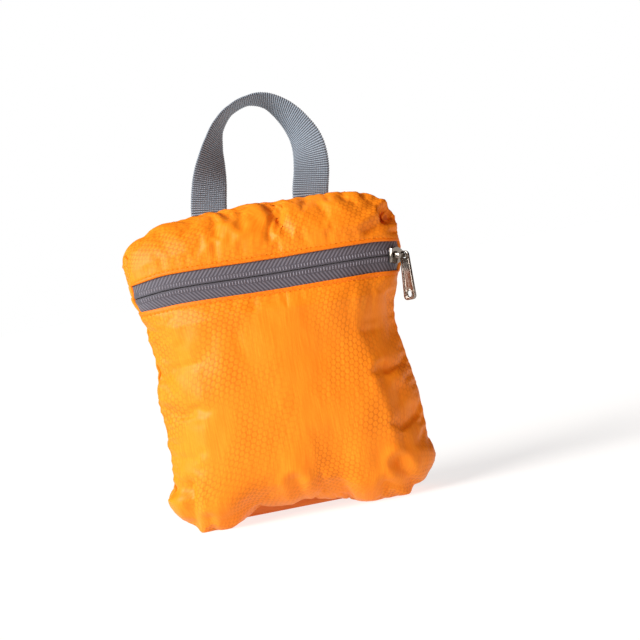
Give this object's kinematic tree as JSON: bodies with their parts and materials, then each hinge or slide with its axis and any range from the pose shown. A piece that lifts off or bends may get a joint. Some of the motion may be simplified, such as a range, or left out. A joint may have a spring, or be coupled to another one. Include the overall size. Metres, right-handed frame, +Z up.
{
  "type": "packable backpack stowed in its own zip pouch",
  "caption": "Orange ripstop backpack folded into its own zipped pouch, plump and rectangular, with a grey webbing grab loop and a zip with a metal pull.",
  "frame": {"origin": "on the floor under the middle of the whole object's box", "axes": "+Z up, -Y the side with the zip, +X to the right seen from the zip side"},
  "size_m": [0.1556, 0.0594, 0.2339],
  "materials": {
    "ripstop": "coated diamond ripstop nylon with a soft sheen",
    "folded_cloth": "folded ripstop nylon",
    "zip_tape": "woven polyester herringbone tape",
    "zip_coil": "nylon monofilament coil",
    "plated_zinc": "nickel plated die-cast zinc",
    "webbing": "ribbed polyester webbing"
  },
  "bodies": {
    "pouch": {"front_panel_lower": "ripstop", "front_panel_upper": "ripstop", "back_panel": "ripstop", "folded_pack": "folded_cloth", "zipper_tape_upper": "zip_tape", "zipper_tape_lower": "zip_tape", "zipper_coil": "zip_coil", "slider_body": "plated_zinc", "grab_loop": "webbing"},
    "pull": {"pull_tab": "plated_zinc"}
  },
  "joints": [
    {"name": "pull_swing", "type": "hinge", "parent": "pouch", "child": "pull", "pos_m": [0.07513, -0.01087, 0.12845], "axis": [-0.607, -0.7902, 0.0838], "range_deg": [-10, 165]}
  ]
}
